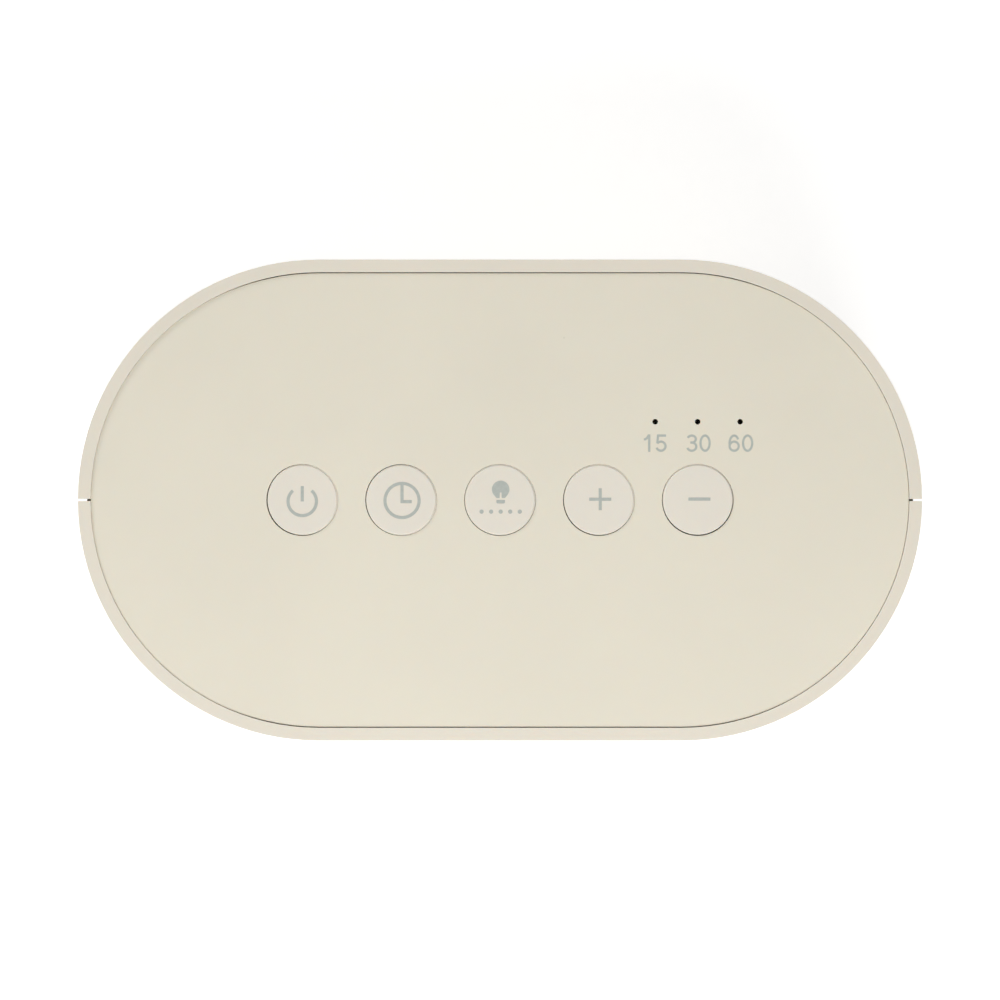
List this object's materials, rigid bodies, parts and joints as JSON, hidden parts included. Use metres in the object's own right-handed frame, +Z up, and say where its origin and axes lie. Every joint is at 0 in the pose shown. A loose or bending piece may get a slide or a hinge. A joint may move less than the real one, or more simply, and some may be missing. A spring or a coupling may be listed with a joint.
{
  "type": "white noise sound machine",
  "caption": "Obround bedside sound machine: cream two-shell case, flush top panel with a row of round push buttons and timer lights, front display and slotted speaker grille.",
  "frame": {"origin": "middle of the case on the surface that the rubber feet stand on", "axes": "+Z up, +X to the right as seen from the front, -Y the front with the display and the speaker slots"},
  "size_m": [0.152, 0.0866, 0.076],
  "materials": {
    "case_plastic": "satin, fine grain, warm cream",
    "panel_plastic": "satin, fine grain, cream",
    "button_plastic": "satin cream with grey printed signs",
    "steel": "zinc plated",
    "foot_rubber": "matte",
    "board_green": "solder resist on glass fibre",
    "switch_black": "moulded",
    "light_lens": "clear resin over a small light",
    "lens_smoked": "polished, dark smoked",
    "module_black": "moulded",
    "frame_steel": "pressed steel, black",
    "magnet_grey": "ferrite magnet in a plain cup",
    "surround_rubber": "matte",
    "cone_paper": "pressed paper",
    "foam_black": "closed foam",
    "cloth_black": "fine woven",
    "socket_white": "moulded",
    "sleeve_black": "shrunk sleeve",
    "jack_black": "moulded",
    "pin_brass": "turned",
    "lead_grey": "flat lead"
  },
  "bodies": {
    "case": {"front_shell": "case_plastic", "rear_shell": "case_plastic", "top_panel": "panel_plastic", "base_plate": "case_plastic", "base_screws": "steel", "rubber_feet": "foot_rubber", "control_board": "board_green", "tact_switches": "switch_black", "timer_lights": "light_lens", "display_lens": "lens_smoked", "display_module": "module_black", "display_board": "board_green", "speaker_frame": "frame_steel", "speaker_magnet": "magnet_grey", "speaker_surround": "surround_rubber", "speaker_gasket": "foam_black", "grille_cloth": "cloth_black", "main_board": "board_green", "sound_chip": "module_black", "board_sockets": "socket_white", "capacitor": "sleeve_black", "power_jack": "jack_black", "jack_pin": "pin_brass", "control_cable": "lead_grey", "display_cable": "lead_grey", "speaker_lead": "lead_grey"},
    "power_key": {"power_button": "button_plastic", "power_plunger": "switch_black"},
    "timer_key": {"timer_button": "button_plastic", "timer_plunger": "switch_black"},
    "snooze_key": {"snooze_button": "button_plastic", "snooze_plunger": "switch_black"},
    "plus_key": {"plus_button": "button_plastic", "plus_plunger": "switch_black"},
    "minus_key": {"minus_button": "button_plastic", "minus_plunger": "switch_black"},
    "diaphragm": {"speaker_cone": "cone_paper"}
  },
  "joints": [
    {"name": "power_press", "type": "slide", "parent": "case", "child": "power_key", "axis": [0, 0, -1], "range_m": [0, 0.0005], "stiffness_N_per_m": 1500, "springref_m": -0.0003},
    {"name": "timer_press", "type": "slide", "parent": "case", "child": "timer_key", "axis": [0, 0, -1], "range_m": [0, 0.0005], "stiffness_N_per_m": 1500, "springref_m": -0.0003},
    {"name": "snooze_press", "type": "slide", "parent": "case", "child": "snooze_key", "axis": [0, 0, -1], "range_m": [0, 0.0005], "stiffness_N_per_m": 1500, "springref_m": -0.0003},
    {"name": "plus_press", "type": "slide", "parent": "case", "child": "plus_key", "axis": [0, 0, -1], "range_m": [0, 0.0005], "stiffness_N_per_m": 1500, "springref_m": -0.0003},
    {"name": "minus_press", "type": "slide", "parent": "case", "child": "minus_key", "axis": [0, 0, -1], "range_m": [0, 0.0005], "stiffness_N_per_m": 1500, "springref_m": -0.0003},
    {"name": "diaphragm_travel", "type": "slide", "parent": "case", "child": "diaphragm", "axis": [0, 1, 0], "range_m": [-0.0005, 0.0005], "stiffness_N_per_m": 1000, "deforming": ["speaker_surround"]}
  ]
}
